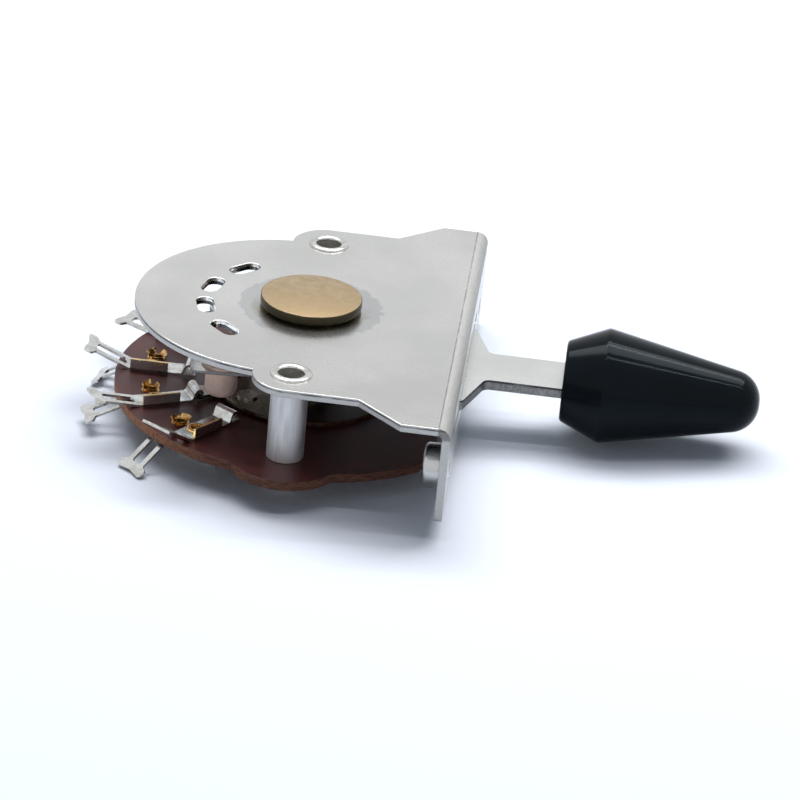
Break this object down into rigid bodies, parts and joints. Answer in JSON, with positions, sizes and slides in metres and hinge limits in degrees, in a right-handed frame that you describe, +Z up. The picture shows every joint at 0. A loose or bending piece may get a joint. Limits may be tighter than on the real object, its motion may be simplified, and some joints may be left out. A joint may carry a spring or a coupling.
{
  "type": "lever selector switch",
  "caption": "Open-frame lever selector switch for guitar pickups: bent nickel frame, brass pivot, phenolic board with clip contacts and solder lugs, black tapered lever tip.",
  "frame": {"origin": "middle of the flange's outer face, on the line between the two screw holes", "axes": "+X out of the panel along the lever, +Y along the flange, +Z up, normal to the frame's plate"},
  "size_m": [0.0762, 0.053, 0.0159],
  "materials": {
    "nickel_plate": "bright nickel plate with fine rolling marks",
    "lever_plate": "bright nickel plate, slightly warm",
    "post_plate": "nickel-plated tube with lengthwise scuffs",
    "eyelet_plate": "bright nickel",
    "shaft_brass": "turned brass, slightly dulled",
    "greased_fibre": "dark greased fibre",
    "phenolic": "dark red-brown laminate with lighter cut edges",
    "rotor_phenolic": "dark laminate",
    "contact_silver": "silver-plated brass, brass at the cut edges",
    "blade_silver": "silver-plated brass, polished by the contacts",
    "eyelet_brass": "bright brass",
    "knob_black": "glossy blue-black moulding",
    "detent_steel": "polished steel",
    "spring_steel": "drawn steel wire"
  },
  "bodies": {
    "frame": {"frame": "nickel_plate", "thrust_washer": "greased_fibre", "spacer_left": "post_plate", "spacer_right": "post_plate", "eyelet_left": "eyelet_plate", "eyelet_right": "eyelet_plate", "board": "phenolic", "contact_top_1": "contact_silver", "contact_top_2": "contact_silver", "contact_top_3": "contact_silver", "contact_top_4": "contact_silver", "contact_bottom_1": "contact_silver", "contact_bottom_2": "contact_silver", "contact_bottom_3": "contact_silver", "contact_bottom_4": "contact_silver", "contact_eyelets": "eyelet_brass"},
    "lever": {"pivot_shaft": "shaft_brass", "lever": "lever_plate", "knob": "knob_black", "push_on_washer": "spring_steel", "detent_carrier": "lever_plate", "detent_cup_left": "detent_steel", "detent_cup_right": "detent_steel", "detent_spring_left": "spring_steel", "detent_spring_right": "spring_steel", "detent_ball_left": "detent_steel", "detent_ball_right": "detent_steel", "rotor": "rotor_phenolic", "rotor_blade_top": "blade_silver", "rotor_blade_bottom": "blade_silver", "rotor_rivets": "eyelet_brass"}
  },
  "joints": [
    {"name": "lever_swing", "type": "hinge", "parent": "frame", "child": "lever", "pos_m": [-0.0181, 0, 0], "axis": [0, 0, 1], "range_deg": [-30, 30]}
  ]
}
